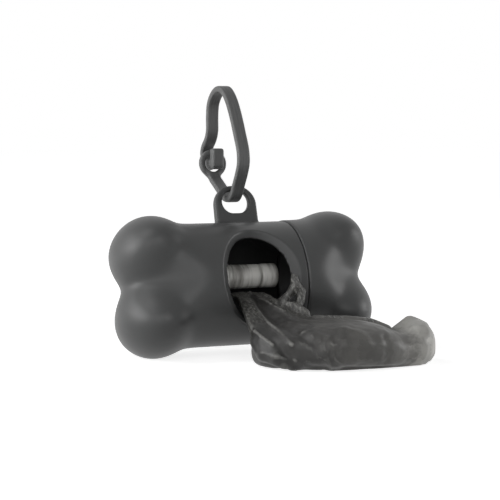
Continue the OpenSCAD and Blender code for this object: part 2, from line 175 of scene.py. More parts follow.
def knuckle_pockets(x, y, z):
    """Distance from the two pockets that core out the knuckles of an end."""
    along = np.clip(np.abs(x), POCKET_FROM_X, POCKET_TO_X)
    upper, lower = [np.sqrt((np.abs(x) - along) ** 2 + y * y + (z - up * POCKET_UP) ** 2) - POCKET_R
                    for up in (1, -1)]
    return np.minimum(upper, lower)


def bag_hole(x, y, z, out):
    """Distance from the hole's cutter, which widens towards the outside of the wall."""
    grow = HOLE_BEVEL * (out - BARREL_R) / WALL
    half_w, half_h = HOLE_HALF[0] + grow, HOLE_HALF[1] + grow
    oval = np.sqrt(((x - HOLE_AT[0]) / half_w) ** 2 + ((z - HOLE_AT[1]) / half_h) ** 2)
    return np.where(y < 0, (oval - 1) * HOLE_SPAN, FAR_OFF)


def lug(x, y, z):
    """Distance from the lug: a tongue with a round top, a taper and an oval slot."""
    across = x - LUG_X
    half_t = LUG_HALF_T - LUG_TAPER * np.clip((z - LUG_TAPER_FROM) / LUG_TAPER_SPAN, 0, 1)
    gx = np.abs(across) - LUG_W / 2 + LUG_CORNER
    gz = z - LUG_TOP + LUG_CORNER
    top = np.sqrt(np.maximum(gx, 0) ** 2 + np.maximum(gz, 0) ** 2)
    plate = top + np.minimum(np.maximum(gx, gz), 0) - LUG_CORNER
    plate = np.maximum(plate, LUG_FOOT - z)
    slot_x = np.maximum(np.abs(across) - SLOT_HALF_FLAT, 0)
    slot = np.sqrt(slot_x**2 + (z - SLOT_UP) ** 2) - SLOT_R
    outline = smooth_high(plate, -slot, SLOT_EDGE)
    return smooth_high(outline, np.abs(y) - half_t, LUG_EDGE)


def body_field(x, y, z):
    """Distance from the body: the bone up to the seam, its neck, hole, lug and boss."""
    out = np.sqrt(y * y + z * z)
    solid = smooth_high(bone_skin(x, y, z, BARREL_R), x - SEAM_X, SEAM_EDGE)
    neck = smooth_high(out - NECK_R, x - NECK_END_X, NECK_EDGE)
    neck = smooth_high(neck, NECK_ROOT_X - x, NECK_EDGE)
    solid = np.minimum(solid, neck)
    ribs = rounded_slab((x, y, np.abs(z)), RIB_FROM, RIB_TO, RIB_EDGE)
    solid = np.minimum(solid, ribs)
    hollow = np.where(x < 0, round_hollow(x, out), out - BORE_R)
    pocketed = np.minimum(hollow, knuckle_pockets(x, y, z))
    hollow = np.where(x < POCKETS_BEFORE_X, pocketed, hollow)
    shell = smooth_high(solid, -hollow, INNER_EDGE)
    shell = smooth_high(shell, -bag_hole(x, y, z, out), HOLE_RIM)
    with_lug = smooth_low(shell, np.maximum(lug(x, y, z), LUG_ROOT_R - out), LUG_FILLET)
    off_axis = np.sqrt(y * y + (z - ROLL_AXIS_Z) ** 2)
    boss = np.maximum(np.maximum(off_axis - BOSS_R, x - BOSS_TO_X), BOSS_FROM_X - x)
    whole = np.minimum(with_lug, boss)
    pin_hole = np.maximum(off_axis - PIN_HOLE_R, PIN_HOLE_FROM_X - x)
    return np.maximum(whole, -pin_hole)


SLOPE_REACH = 0.01
GENTLEST_SLOPE = 0.05
MOVES = 6
MOVE_SHARE = 0.9
LONGEST_MOVE = 0.3


def slope_of(field, corners):
    """How fast the field changes along x, y and z at each corner."""
    return np.stack([(field(*(corners + d).T) - field(*(corners - d).T)) / (2 * SLOPE_REACH)
                     for d in np.eye(3) * SLOPE_REACH], axis=1)


def cubes_beside(cells, u, v, du, dv):
    """The small cubes that lie du and dv back from the given ones."""
    home = cells.copy()
    home[:, u] -= du
    home[:, v] -= dv
    return home


def skin_from(field, low, high, step):
    """A mesh of the surface where field is 0, as corners in mm and four-sided faces.

    One corner goes in each small cube that the surface crosses, and each is then
    moved onto the surface along the field's slope.
    """
    axes = [np.arange(lo, hi + step, step) for lo, hi in zip(low, high)]
    value = field(*np.meshgrid(*axes, indexing="ij"))
    inside = value < 0
    count = [len(a) - 1 for a in axes]
    total = np.zeros(count + [3])
    hits = np.zeros(count)
    index = np.full(count, -1, dtype=np.int64)
    crossings = []
    for axis in range(3):
        before = [slice(None)] * 3
        after = [slice(None)] * 3
        before[axis] = slice(0, -1)
        after[axis] = slice(1, None)
        before, after = tuple(before), tuple(after)
        cells = np.argwhere(inside[before] != inside[after])
        a = value[before][tuple(cells.T)]
        b = value[after][tuple(cells.T)]
        at = np.stack([axes[k][cells[:, k]] for k in range(3)], axis=1)
        at[:, axis] += step * a / (a - b)
        crossings.append((axis, cells, a < 0))
        u, v = (axis + 1) % 3, (axis + 2) % 3
        for du in (0, 1):
            for dv in (0, 1):
                home = cubes_beside(cells, u, v, du, dv)
                ok = ((home >= 0) & (home < np.array(count))).all(axis=1)
                np.add.at(total, tuple(home[ok].T), at[ok])
                np.add.at(hits, tuple(home[ok].T), 1)
    used = hits > 0
    index[used] = np.arange(used.sum())
    corners = total[used] / hits[used][:, None]
    for _ in range(MOVES):
        here = field(*corners.T)
        slope = slope_of(field, corners)
        size = (slope**2).sum(axis=1)
        move = slope * (here / np.maximum(size, GENTLEST_SLOPE))[:, None]
        length = np.linalg.norm(move, axis=1, keepdims=True)
        kept = np.minimum(1, LONGEST_MOVE * step / np.maximum(length, 1e-9))
        corners = corners - move * kept * MOVE_SHARE
    quads = []
    for axis, cells, first_inside in crossings:
        u, v = (axis + 1) % 3, (axis + 2) % 3
        ring = np.stack([index[tuple(cubes_beside(cells, u, v, du, dv).T)]
                         for du, dv in ((0, 0), (1, 0), (1, 1), (0, 1))], axis=1)
        ring[~first_inside] = ring[~first_inside][:, ::-1]
        quads.append(ring)
    return corners, np.concatenate(quads)


def tip_back(corners, angle=LEAN):
    """Points turned from the bone's own frame to the way it leans; -LEAN turns them back."""
    cos, sin = math.cos(angle), math.sin(angle)
    turned = corners.copy()
    turned[:, 1] = corners[:, 1] * cos + corners[:, 2] * sin
    turned[:, 2] = corners[:, 2] * cos - corners[:, 1] * sin
    return turned


def solid_piece(name, corners, faces, body):
    """A smooth-shaded object from corners in mm, riding on a body."""
    mesh = bpy.data.meshes.new(name)
    mesh.from_pydata((corners * MM).tolist(), [], faces.tolist())
    mesh.validate()
    mesh.shade_smooth()
    piece = bpy.data.objects.new(name, mesh)
    bpy.context.scene.collection.objects.link(piece)
    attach(piece, body)
    return piece


def node_maker(owner):
    """Shorthand for adding and joining the nodes of a material or the world."""
    owner.use_nodes = True
    tree = owner.node_tree

    def add(kind, inputs=None, **settings):
        node = tree.nodes.new("ShaderNode" + kind)
        for key, value in settings.items():
            setattr(node, key, value)
        for key, value in (inputs or {}).items():
            if isinstance(value, bpy.types.NodeSocket):
                tree.links.new(value, node.inputs[key])
            else:
                node.inputs[key].default_value = value
        return node

    shader = tree.nodes.get("Principled BSDF") or tree.nodes.get("Background")
    return add, shader, tree.links


def colour_steps(add, factor, steps):
    """A colour ramp; steps is a list of (position, (r, g, b))."""
    ramp = add("ValToRGB", {"Fac": factor})
    while len(ramp.color_ramp.elements) < len(steps):
        ramp.color_ramp.elements.new(0.5)
    for element, (place, colour) in zip(ramp.color_ramp.elements, steps):
        element.position = place
        element.color = (*colour, 1)
    return ramp.outputs["Color"]


SHELL_COLOURS = [(0.3, (0.044, 0.045, 0.045)), (0.7, (0.052, 0.053, 0.053))]
SHELL_ROUGHNESS = (0.38, 0.44)


def matte_shell_plastic():
    """Dark grey plastic with a fine spark-eroded grain and slightly uneven gloss."""
    material = bpy.data.materials.new("matte grey shell plastic")
    add, shader, links = node_maker(material)
    place = add("TexCoord").outputs["Object"]
    cloud = add("TexNoise", {"Vector": place, "Scale": 55, "Detail": 3, "Roughness": 0.55})
    grain = add("TexNoise", {"Vector": place, "Scale": 2600, "Detail": 2, "Roughness": 0.6})
    colour = colour_steps(add, cloud.outputs["Fac"], SHELL_COLOURS)
    links.new(colour, shader.inputs["Base Color"])
    rough = add("MapRange", {"Value": cloud.outputs["Fac"], "From Min": 0.3, "From Max": 0.7,
                             "To Min": SHELL_ROUGHNESS[0], "To Max": SHELL_ROUGHNESS[1]})
    links.new(rough.outputs["Result"], shader.inputs["Roughness"])
    bump = add("Bump", {"Height": grain.outputs["Fac"], "Strength": 0.10, "Distance": 0.00005})
    links.new(bump.outputs["Normal"], shader.inputs["Normal"])
    shader.inputs["Specular IOR Level"].default_value = 0.3
    return material


# A piece's surface is looked for in a box, whose two corners are in mm.
FINE = 0.42
BODY_FROM = (-43.5, -20.5, -23.2)
BODY_TO = (21.2, 20.5, 33.0)
shell_plastic = matte_shell_plastic()
points, faces = skin_from(body_field, BODY_FROM, BODY_TO, FINE)
body = solid_piece("body_shell_moulding", tip_back(points), faces, "shell")
body.data.materials.append(shell_plastic)
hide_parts("body_shell")


# The right end is a second moulding of the same plastic. It pushes over the neck,
# held by friction and kept from turning by two small ribs, and pulls straight off.
# It stands 0.3 mm proud of the body, and has 0.08 mm of play on the neck.
CAP_R = BARREL_R + 0.3
CAP_SEAM_X = SEAM_X + 0.05
SOCKET_R = NECK_R + 0.08
SOCKET_END_X = NECK_END_X + 0.3
SOCKET_EDGE = 0.4
GROOVE_FROM = (0, -1.65, 0)
GROOVE_TO = (NECK_END_X + 0.15, 1.65, NECK_R + 0.75)
GROOVE_EDGE = 0.2
CAP_FROM = (13.5, -21, -23.2)
CAP_TO = (43.5, 21, 23.2)


def cap_field(x, y, z):
    """Distance from the pull-off end: the bone past the seam, hollow, with its socket."""
    out = np.sqrt(y * y + z * z)
    solid = smooth_high(bone_skin(x, y, z, CAP_R), CAP_SEAM_X - x, SEAM_EDGE)
    socket = smooth_high(out - SOCKET_R, x - SOCKET_END_X, SOCKET_EDGE)
    grooves = rounded_slab((x, y, np.abs(z)), GROOVE_FROM, GROOVE_TO, GROOVE_EDGE)
    hollow = np.minimum(np.minimum(socket, grooves), round_hollow(x, out))
    hollow = np.minimum(hollow, knuckle_pockets(x, y, z))
    return smooth_high(solid, -hollow, INNER_EDGE)


points, faces = skin_from(cap_field, CAP_FROM, CAP_TO, FINE)
cap = solid_piece("pull_off_end_moulding", tip_back(points), faces, "cap")
cap.data.materials.append(shell_plastic)
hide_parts("end_cap")


# The spindle is a plain moulded pin that is pushed into the boss on the closed
# end, and the core is a spiral-wound card tube that turns on it.
CARD_COLOURS = [(0.3, (0.30, 0.20, 0.12)), (0.7, (0.42, 0.30, 0.19))]


def wound_card():
    """Plain brown card with a fibrous surface."""
    material = bpy.data.materials.new("wound card")
    add, shader, links = node_maker(material)
    place = add("TexCoord").outputs["Object"]
    fibre = add("TexNoise", {"Vector": place, "Scale": 900, "Detail": 4})
    colour = colour_steps(add, fibre.outputs["Fac"], CARD_COLOURS)
    links.new(colour, shader.inputs["Base Color"])
    shader.inputs["Roughness"].default_value = 0.85
    bump = add("Bump", {"Height": fibre.outputs["Fac"], "Strength": 0.2, "Distance": 0.00005})
    links.new(bump.outputs["Normal"], shader.inputs["Normal"])
    return material


for node, material in (("roll_spindle", shell_plastic), ("roll_core", wound_card())):
    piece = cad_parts[node]
    piece.data.materials.clear()
    piece.data.materials.append(material)


# The roll is the film that is left on the core: thin bags wound tight, painted pale in streaks as a
# painted silvery sheen, with fine rings where the layers' edges lie and one loose lap.
ROLL_R = 4.0
ROLL_FROM_X = -28.8
ROLL_TO_X = 11.7
CORE_R = 2.7
ROLL_SIDES = 96
ROW_STEP = 0.22
FIRST_ROW = 0.3
LAST_ROW = 0.25
ROLL_SKIN_R = ROLL_R - 0.28
LOOSE_END = 0.25
LOOSE_WAVE = 0.05
LOOSE_TWIST = 0.35
END_ROUND = 0.35
RING_HEIGHT = 0.2
RINGS_AT_X = -8.0
RINGS_REACH = 4.0
RING_WAVE = 5.2
LAP_FROM_X = 5.8
LAP_TO_X = 6.3
LAP_DEPTH = 0.16
# Pale streak colours: a painted silvery sheen of the tightly wound film, not its own dark colour.
ROLL_SHEEN_COLOURS = [(0.38, (0.30, 0.29, 0.27)), (0.58, (0.85, 0.84, 0.80))]


def wound_film():
    """Film painted pale in streaks that run round the roll, a painted sheen of the tight layers."""
    material = bpy.data.materials.new("wound bag film")
    add, shader, links = node_maker(material)
    place = add("TexCoord").outputs["Object"]
    lengthwise = add("Mapping", {"Vector": place, "Scale": (420, 60, 60)})
    streak = add("TexNoise", {"Vector": lengthwise.outputs["Vector"], "Scale": 1, "Detail": 3})
    colour = colour_steps(add, streak.outputs["Fac"], ROLL_SHEEN_COLOURS)
    links.new(colour, shader.inputs["Base Color"])
    shader.inputs["Roughness"].default_value = 0.36
    bump = add("Bump", {"Height": streak.outputs["Fac"], "Strength": 0.35, "Distance": 0.0001})
    links.new(bump.outputs["Normal"], shader.inputs["Normal"])
    return material


def roll_mesh():
    """The roll's outer skin with its end faces, ringed at the left and loosely lapped."""
    middle_rows = np.arange(ROLL_FROM_X + FIRST_ROW, ROLL_TO_X - END_ROUND, ROW_STEP)
    stops = np.concatenate([[ROLL_FROM_X], middle_rows, [ROLL_TO_X - LAST_ROW, ROLL_TO_X]])
    turns = [2 * math.pi * k / ROLL_SIDES for k in range(ROLL_SIDES)]
    rows = []
    for x in stops:
        fading = math.exp(-((x - RINGS_AT_X) / RINGS_REACH) ** 2)
        rings = RING_HEIGHT * math.sin(x * RING_WAVE) * fading
        lap = LAP_DEPTH if LAP_FROM_X < x < LAP_TO_X else 0.0
        edge = min(x - ROLL_FROM_X, ROLL_TO_X - x)
        rounded = END_ROUND * (1 - min(edge / END_ROUND, 1)) ** 2
        row = []
        for k, a in enumerate(turns):
            loose = LOOSE_WAVE * math.sin(2 * a + x * LOOSE_TWIST)
            r = ROLL_SKIN_R + LOOSE_END * (1 - k / ROLL_SIDES) + rings - lap + loose - rounded
            row.append((x, r * math.cos(a), ROLL_AXIS_Z + r * math.sin(a)))
        rows.append(row)
    for x in (ROLL_TO_X, ROLL_FROM_X):
        rows.append([(x, CORE_R * math.cos(a), ROLL_AXIS_Z + CORE_R * math.sin(a)) for a in turns])
    corners = np.array([p for row in rows for p in row])
    count = len(rows)
    faces = []
    for k in range(count):
        here, beyond = k * ROLL_SIDES, (k + 1) % count * ROLL_SIDES
        for i in range(ROLL_SIDES):
            beside = (i + 1) % ROLL_SIDES
            faces.append((here + i, here + beside, beyond + beside, beyond + i))
    return corners, np.array(faces)


points, faces = roll_mesh()
roll = solid_piece("bag_roll_film", tip_back(points), faces[:, ::-1], "roll")
roll.data.materials.append(wound_film())
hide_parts("bag_roll")


# The pulled-out bag is one length of thin dark film. It leaves the roll, falls over
# the hole's lower edge in pleats, and lies in a crumpled heap that runs to the right.
FLOOR_Z = -22.07
# A path's row is its place, middle, height, half width and half thickness, in mm in
# the frame of the surface. FALL runs along y, and HEAP along x.
FALL = np.array([
    (-1.5, -0.5, -3.0, 5.2, 0.7), (-9.5, -0.2, -3.6, 6.0, 1.0), (-16.5, -0.6, -5.2, 6.3, 1.5),
    (-22.8, 1.2, -7.4, 9.0, 2.2), (-29.0, 2.6, -11.2, 11.8, 4.0), (-35.0, 4.0, -14.5, 13.0, 5.0),
    (-42.0, 5.0, -17.0, 12.0, 4.0)])
HEAP = np.array([
    (-9.5, -30.5, -18.0, 4.0, 3.0), (-6.5, -33.5, -17.0, 8.0, 5.6), (0.0, -36.5, -16.0, 12.0, 7.4),
    (8.0, -39.0, -15.7, 15.0, 7.9), (17.0, -39.5, -15.4, 15.5, 8.1), (25.0, -40.5, -16.0, 14.0, 7.5),
    (30.5, -41.5, -17.2, 11.5, 6.2), (33.0, -42.0, -17.9, 9.0, 5.4), (36.5, -42.0, -17.0, 9.5, 6.8),
    (40.0, -41.5, -15.8, 9.5, 7.7), (43.5, -40.5, -16.2, 7.5, 7.0), (46.0, -39.0, -17.6, 4.5, 4.8)])
FILM_SINK = 0.5
# Each pleat is a list of (x, y, z, radius) along it.
PLEATS = [
    [(-2.9, -4.5, -3.4, 0.9), (-5.0, -13.0, -4.9, 1.3), (-6.4, -22.0, -7.8, 1.8),
     (-7.4, -29.0, -11.2, 2.3), (-7.6, -35.0, -14.4, 2.4), (-6.8, -41.0, -17.4, 2.2)],
    [(-0.2, -7.0, -3.8, 0.9), (0.8, -14.0, -4.9, 1.2), (2.4, -20.5, -6.6, 1.6),
     (4.3, -28.0, -9.0, 2.3), (5.8, -36.0, -11.4, 2.7), (8.0, -43.0, -14.4, 2.8)],
    [(4.0, -6.0, -3.6, 0.9), (4.2, -12.0, -4.0, 1.0), (3.8, -18.0, -5.2, 1.2), (4.8, -23.0, -6.6, 1.5)],
    [(4.4, -18.4, -4.6, 1.1), (7.0, -21.0, -1.8, 1.3), (8.8, -21.6, 1.2, 1.5), (8.2, -21.4, 3.4, 1.1)],
    [(8.8, -21.8, 0.6, 1.2), (10.6, -22.0, -1.0, 1.4), (9.8, -23.0, -3.8, 1.3)],
    [(5.4, -21.0, -4.8, 1.0), (7.6, -23.2, -5.4, 1.5), (10.2, -25.8, -7.0, 1.4)],
    [(11.0, -31.5, -9.0, 2.0), (19.0, -34.5, -9.4, 2.2), (26.5, -37.0, -10.2, 2.0),
     (31.0, -39.5, -11.8, 1.5)],
    [(13.0, -48.0, -12.8, 2.6), (22.0, -50.0, -14.6, 2.8), (29.0, -49.5, -16.6, 2.0)],
    [(-9.2, -31.5, -14.5, 1.5), (-8.8, -35.5, -17.4, 1.8), (-5.0, -42.0, -19.4, 2.0)],
    [(35.0, -38.5, -12.8, 1.8), (40.0, -38.0, -10.4, 2.2), (44.0, -39.0, -12.0, 2.0)],
]
# Each crease is (rise, half width, its points). A hollow has a rise below 0.
CREASES = [
    (0.5, 0.9, [(-5.0, -11.0, -4.0), (-7.5, -19.0, -5.5), (-9.5, -29.0, -10.0)]),
    (0.7, 0.8, [(-9.5, -31.5, -11.0), (-9.0, -35.5, -12.5), (-7.5, -40.5, -14.5)]),
    (0.9, 1.2, [(-0.5, -7.5, -2.5), (-2.5, -13.5, -4.0), (-4.0, -20.5, -5.5), (-4.5, -25.5, -7.0),
                (-5.0, -31.0, -9.0), (-4.5, -38.0, -11.0), (-3.0, -44.0, -14.0)]),
    (0.7, 0.8, [(-0.5, -8.0, -2.5), (0.0, -12.0, -3.0), (0.5, -17.0, -4.0), (1.5, -22.0, -5.5),
                (2.5, -25.0, -6.0)]),
    (0.8, 1.0, [(3.6, -8.0, -2.4), (3.8, -12.0, -2.8), (3.5, -16.0, -3.5), (3.0, -21.5, -5.0)]),
    (-1.2, 2.6, [(-1.0, -12.5, -3.5), (-1.8, -19.0, -5.0), (-2.0, -26.5, -7.0), (-1.5, -35.0, -9.5),
                 (0.5, -41.0, -10.5)]),
    (0.7, 0.8, [(4.5, -20.5, -3.5), (6.0, -22.0, -4.0), (7.5, -24.0, -4.0), (9.0, -26.0, -5.5)]),
    (-0.7, 1.8, [(-1.5, -39.5, -10.0), (-1.0, -43.5, -11.0), (1.0, -47.5, -12.5), (3.0, -49.5, -14.0)]),
    (0.5, 0.9, [(11.5, -34.0, -8.0), (14.0, -36.5, -8.0), (14.5, -43.0, -8.0), (21.0, -44.5, -8.5)]),
    (0.5, 1.2, [(11.5, -48.0, -9.5), (16.5, -51.5, -10.5), (18.5, -54.0, -14.0)]),
    (0.4, 1.2, [(35.0, -43.0, -11.5), (37.0, -45.0, -10.5), (40.0, -47.5, -10.0),
                (40.5, -49.5, -12.5)]),
    (0.4, 1.2, [(37.0, -50.0, -13.5), (39.0, -50.5, -16.0), (38.0, -50.0, -19.5)]),
    (-0.6, 1.6, [(23.5, -52.0, -12.0), (24.0, -53.5, -15.0), (24.0, -52.5, -19.5)]),
    (0.5, 0.9, [(-10.0, -37.5, -16.5), (-7.5, -43.0, -17.5), (-2.0, -45.0, -18.5)]),
]

PATH_STEP = 0.5
PATH_EASE = (-2.4, -1.2, 0.0, 1.2, 2.4)


def eased(path):
    """The path at even steps along its first column, with its bends eased."""
    columns = path[np.argsort(path[:, 0])].T
    at = np.arange(columns[0][0], columns[0][-1] + PATH_STEP / 2, PATH_STEP)
    others = [sum(np.interp(at + ease, columns[0], column) for ease in PATH_EASE) / len(PATH_EASE)
              for column in columns[1:]]
    return np.stack([at, *others], axis=1)


FALL_PATH = eased(FALL)
HEAP_PATH = eased(HEAP)
FILM_POWER = 2.4
FILM_END_ROUND = 1.5


def film_body(path, at, across, up):
    """Distance from the bunched film along a path, which is round with flattened sides."""
    middle, height, half_w, half_t = [np.interp(at, path[:, 0], path[:, k]) for k in range(1, 5)]
    sideways = (np.abs(across - middle) / half_w) ** FILM_POWER
    upward = (np.abs(up - height) / half_t) ** FILM_POWER
    size = (sideways + upward) ** (1 / FILM_POWER)
    ends = np.maximum(path[:, 0].min() - at, at - path[:, 0].max())
    return smooth_high((size - 1) * half_t, ends, FILM_END_ROUND)


def pleat_distance(pleat, x, y, z):
    """Distance from a tube along the pleat's points, thicker or thinner as it goes."""
    best = None
    for a, b in zip(pleat, pleat[1:]):
        step = np.array(b[:3]) - np.array(a[:3])
        t = ((x - a[0]) * step[0] + (y - a[1]) * step[1] + (z - a[2]) * step[2]) / (step @ step)
        t = np.clip(t, 0, 1)
        gap = np.sqrt((x - a[0] - t * step[0]) ** 2 + (y - a[1] - t * step[1]) ** 2
                      + (z - a[2] - t * step[2]) ** 2)
        dist = gap - (a[3] + t * (b[3] - a[3]))
        best = dist if best is None else np.minimum(best, dist)
    return best


SINK_FROM_Y = -6
SINK_RATE = 0.12
FALL_FILLET = 4.0
PLEAT_FILLET = 1.2


def bag_field(x, y, z):
    """Distance from the bag before it is creased, cut flat where it lies."""
    fall = film_body(FALL_PATH, y, x, z)
    heap = film_body(HEAP_PATH, x, y, z)
    sunk = np.clip(SINK_RATE * (SINK_FROM_Y - y), 0, FILM_SINK)
    film = smooth_low(fall, heap, FALL_FILLET) + sunk
    for pleat in PLEATS:
        film = smooth_low(film, pleat_distance(pleat, x, y, z), PLEAT_FILLET)
    return np.maximum(film, FLOOR_Z - z)


# A tuft of film stands up beside the hole, crinkled in two crossing waves. A wave's
# numbers are radians per mm along its three directions.
TUFT_AT = (9.0, -21.6, 0.6)
TUFT_REACH = 4.0
TUFT_FULL = 1.4
TUFT_HEIGHT = 0.4
WAVE_DOWN = (3.1, 1.7, 2.3)
WAVE_ACROSS = (2.7, 1.9, 2.9)


def creased(start, points, faces):
    """Raises or lowers the film along the creases, whose lines lie on its start."""
    corner = points[faces]
    across = np.cross(corner[:, 2] - corner[:, 0], corner[:, 3] - corner[:, 1])
    normal = np.zeros_like(points)
    for k in range(4):
        np.add.at(normal, faces[:, k], across)
    normal /= np.linalg.norm(normal, axis=1, keepdims=True) + 1e-12
    rise = np.zeros(len(points))
    for height, half_width, line in CREASES:
        gap = pleat_distance([(*p, 0.0) for p in line], *start.T)
        rise += height * np.clip(1 - gap / half_width, 0, 1)
    x, y, z = start.T
    away = np.sqrt((x - TUFT_AT[0]) ** 2 + (y - TUFT_AT[1]) ** 2 + (z - TUFT_AT[2]) ** 2)
    tuft = np.clip(TUFT_FULL - away / TUFT_REACH, 0, 1)
    a, b, c = WAVE_DOWN
    ripple = np.sin(a * x + b * z + np.sin(c * y))
    a, b, c = WAVE_ACROSS
    ripple = ripple * np.sin(a * y - b * z + np.sin(c * x))
    return points + normal * (rise + ripple * (TUFT_HEIGHT * tuft))[:, None]


def relaxed(points, faces, share, rounds):
    """Moves each point a share of the way to the middle of its neighbours, to lose pimples."""
    for _ in range(rounds):
        total = np.zeros_like(points)
        count = np.zeros(len(points))
        for k in range(4):
            here, other = faces[:, k], faces[:, (k + 1) % 4]
            np.add.at(total, here, points[other])
            np.add.at(total, other, points[here])
            np.add.at(count, here, 1)
            np.add.at(count, other, 1)
        points = points + share * (total / count[:, None] - points)
    return points


CLOTH_SCALE = 0.02


def crumpled(points, faces, growth, hold, frames):
    """The film after it has grown by a share and buckled, held loosely to its start.

    The simulation runs on a copy 20 times the real size, where it is steadier. The
    growth of the whole is taken out again, so that only its buckles are kept.
    """
    mesh = bpy.data.meshes.new("film start")
    mesh.from_pydata((points * CLOTH_SCALE).tolist(), [], faces.tolist())
    film = bpy.data.objects.new("film start", mesh)
    bpy.context.scene.collection.objects.link(film)
    held = film.vertex_groups.new(name="held")
    held.add(range(len(points)), hold, "REPLACE")
    cloth = film.modifiers.new("crumple", "CLOTH")
    cloth.settings.quality = 4
    cloth.settings.mass = 0.08
    cloth.settings.tension_stiffness = 30
    cloth.settings.compression_stiffness = 30
    cloth.settings.shear_stiffness = 12
    cloth.settings.bending_stiffness = 0.8
    cloth.settings.shrink_min = -growth
    cloth.settings.vertex_group_mass = "held"
    cloth.settings.pin_stiffness = 1.0
    cloth.settings.effector_weights.gravity = 0
    cloth.collision_settings.use_self_collision = False
    cloth.point_cache.frame_end = frames
    for k in range(1, frames + 1):
        bpy.context.scene.frame_set(k)
    graph = bpy.context.evaluated_depsgraph_get()
    result = film.evaluated_get(graph).data
    moved = np.array([v.co[:] for v in result.vertices]) / CLOTH_SCALE
    flat = np.hstack([points, np.ones((len(points), 1))])
    spread = np.linalg.lstsq(flat, moved, rcond=None)[0]
    moved = (moved - spread[3]) @ np.linalg.inv(spread[:3])
    bpy.data.objects.remove(film)
    bpy.context.scene.frame_set(1)
    return moved


CLEAR_ROUNDS = 4
CLEAR_SLOPE = 0.2
ROLL_END_GAP = 1


def kept_clear(corners, gap):
    """Moves points out of the moulding and off the roll until they are gap away."""
    bone = tip_back(corners, -LEAN)
    for _ in range(CLEAR_ROUNDS):
        here = body_field(*bone.T)
        near = here < gap
        if not near.any():
            break
        close = bone[near]
        slope = slope_of(body_field, close)
        size = np.maximum((slope**2).sum(axis=1), CLEAR_SLOPE)
        bone[near] = close + slope * ((gap - here[near]) / size)[:, None]
    axis = np.array([0.0, ROLL_AXIS_Z])
    off = bone[:, 1:] - axis
    reach = np.linalg.norm(off, axis=1)
    beside = (bone[:, 0] > ROLL_FROM_X - ROLL_END_GAP) & (bone[:, 0] < ROLL_TO_X + ROLL_END_GAP)
    over = (reach < ROLL_R + gap) & beside
    bone[over, 1:] = axis + off[over] * ((ROLL_R + gap) / reach[over])[:, None]
    clear = tip_back(bone)
    clear[:, 2] = np.maximum(clear[:, 2], FLOOR_Z)
    return clear


# The film's colour along the heap, from its left end to its puffed right end, and how
# far its edges wander in metres. Where layers overlap, its shade changes in patches.
FILM_FROM_X = -10.0
FILM_TO_X = 46.0
CLOUD_RANGE = (0.3, 0.7)
WANDER = 0.004
PATCH_SHIFT = (0.008, 0.008, 0.008)
PATCH_SHADES = (0.82, 1.18)
FILM_COLOURS = [
    (0.0, (0.010, 0.0097, 0.009)), (0.26, (0.028, 0.027, 0.0255)), (0.40, (0.068, 0.066, 0.062)),
    (0.65, (0.102, 0.100, 0.094)), (0.76, (0.17, 0.167, 0.157)), (0.84, (0.38, 0.374, 0.352)),
    (1.0, (0.52, 0.512, 0.483))]
# Pale specks on crushed film: painted glints, lighter than the film's own colour.
CRUSHED_GLINT_COLOURS = [
    (0.36, (0.02, 0.0195, 0.018)), (0.52, (0.07, 0.069, 0.064)), (0.68, (0.24, 0.238, 0.225))]
# Sharp ridges get a painted highlight, from a slight bend to a full one.
RIDGE_HIGHLIGHT_COLOUR = (0.25, 0.248, 0.235, 1)
SLIGHT_BEND = 0.515
FULL_BEND = 0.57
# Small places where the film is crushed and painted with glints, each with its reach, and the share of
# the reach in which it is crushed fully.
CRUSHED_FULLY = 0.7
CRUSHED_GLINT_SPOTS = [(TUFT_AT, 5.0), ((15.0, -34.5, -8.3), 4.0), ((26.0, -37.0, -9.0), 3.0)]
# The smooth dark panel of the fall, in metres: the y up to which it is widest, how its
# middle and half width change from there, how soft its edge is, and where the film
# beside it begins to be crushed.
PANEL_Y = -0.022
PANEL_MIDDLE = (0.075, -0.00125)
PANEL_HALF = (-0.195, 0.00325)
PANEL_EDGE = 0.0006
CRUSHED_FROM_Y = -0.033
CRUSHED_FULL_Y = -0.024
# Smooth film first, crushed film second.
FILM_ROUGHNESS = (0.46, 0.28)
FILM_CRINKLE = (0.06, 0.9)


